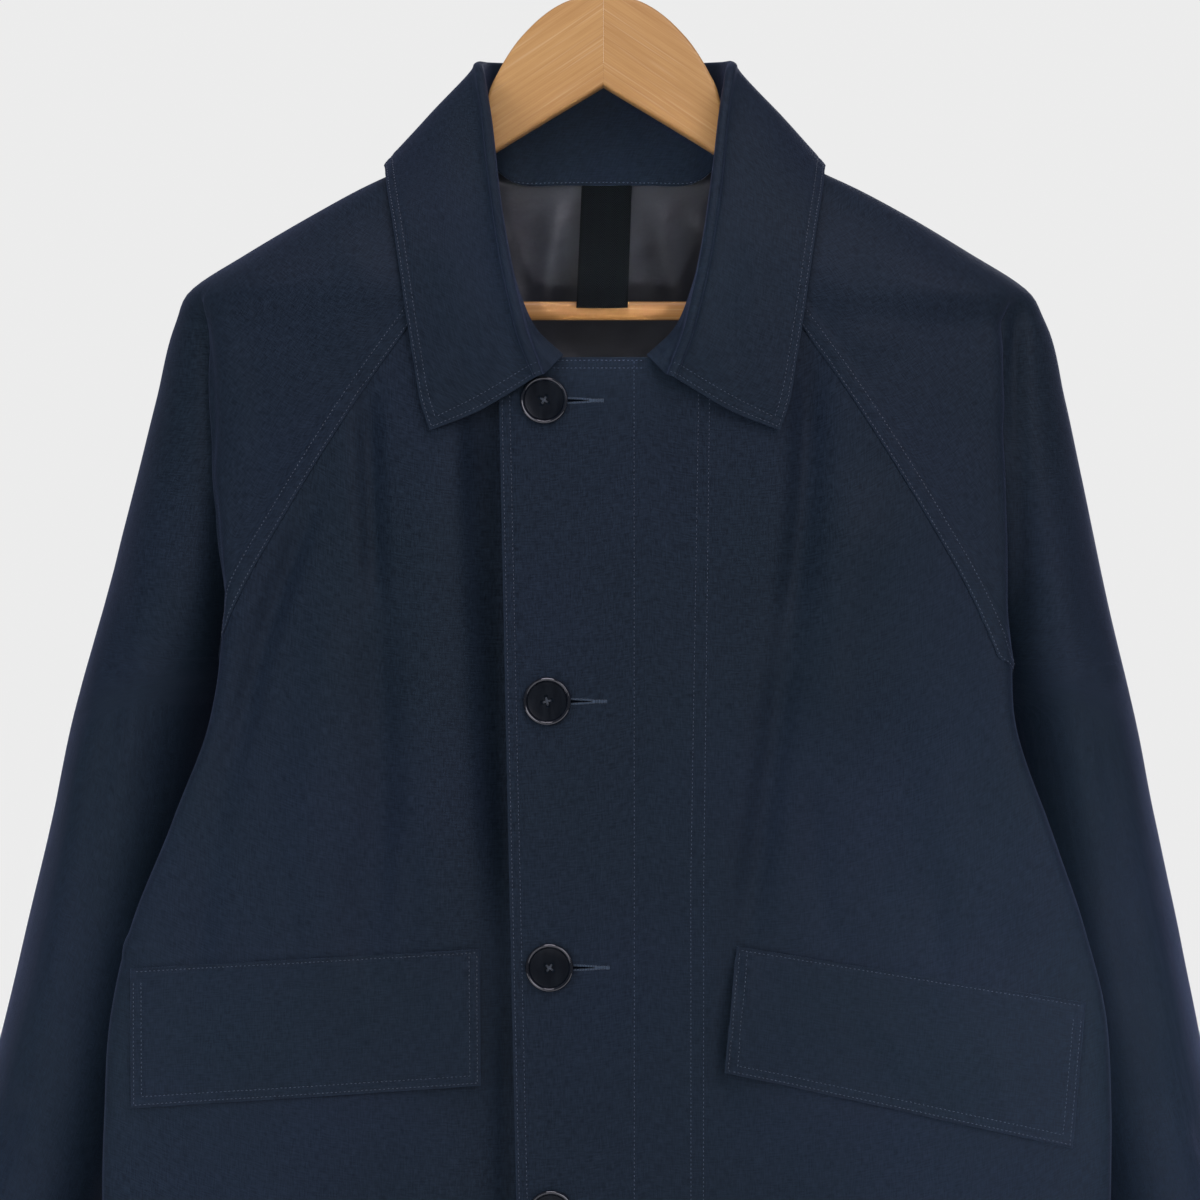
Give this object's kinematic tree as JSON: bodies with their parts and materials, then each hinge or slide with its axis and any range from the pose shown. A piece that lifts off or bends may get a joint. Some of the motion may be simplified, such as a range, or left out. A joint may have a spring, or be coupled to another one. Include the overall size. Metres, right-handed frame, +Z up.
{
  "type": "raglan jacket on a wooden hanger",
  "caption": "Buttoned cotton jacket with a turned-down collar, raglan sleeves and flap pockets, hanging closed on a wooden hanger with a rail and a wire hook.",
  "frame": {"origin": "inside top of the hanger's hook, where it rests on a rail", "axes": "+Z up, the jacket's front faces -Y, the wearer's left is +X"},
  "size_m": [0.7282, 0.1639, 0.8816],
  "materials": {
    "navy_cotton": "matt, close plain weave",
    "lining_satin": "soft sheen",
    "tape_black": "matt herringbone tape",
    "button_black": "polished rim, satin middle",
    "hanger_wood": "varnished beech, satin",
    "hook_steel": "polished"
  },
  "bodies": {
    "root": {"front_left": "navy_cotton", "front_right": "navy_cotton", "back": "navy_cotton", "sleeve_front_left": "navy_cotton", "sleeve_back_left": "navy_cotton", "sleeve_front_right": "navy_cotton", "sleeve_back_right": "navy_cotton", "collar_upper": "navy_cotton", "collar_under": "navy_cotton", "flap_left": "navy_cotton", "flap_right": "navy_cotton", "back_lining": "lining_satin", "hang_loop": "tape_black", "button_1": "button_black", "button_2": "button_black", "button_3": "button_black", "button_4": "button_black", "button_5": "button_black", "hanger_arm_left": "hanger_wood", "hanger_arm_right": "hanger_wood", "hanger_rail": "hanger_wood", "hanger_hook": "hook_steel"}
  },
  "joints": []
}
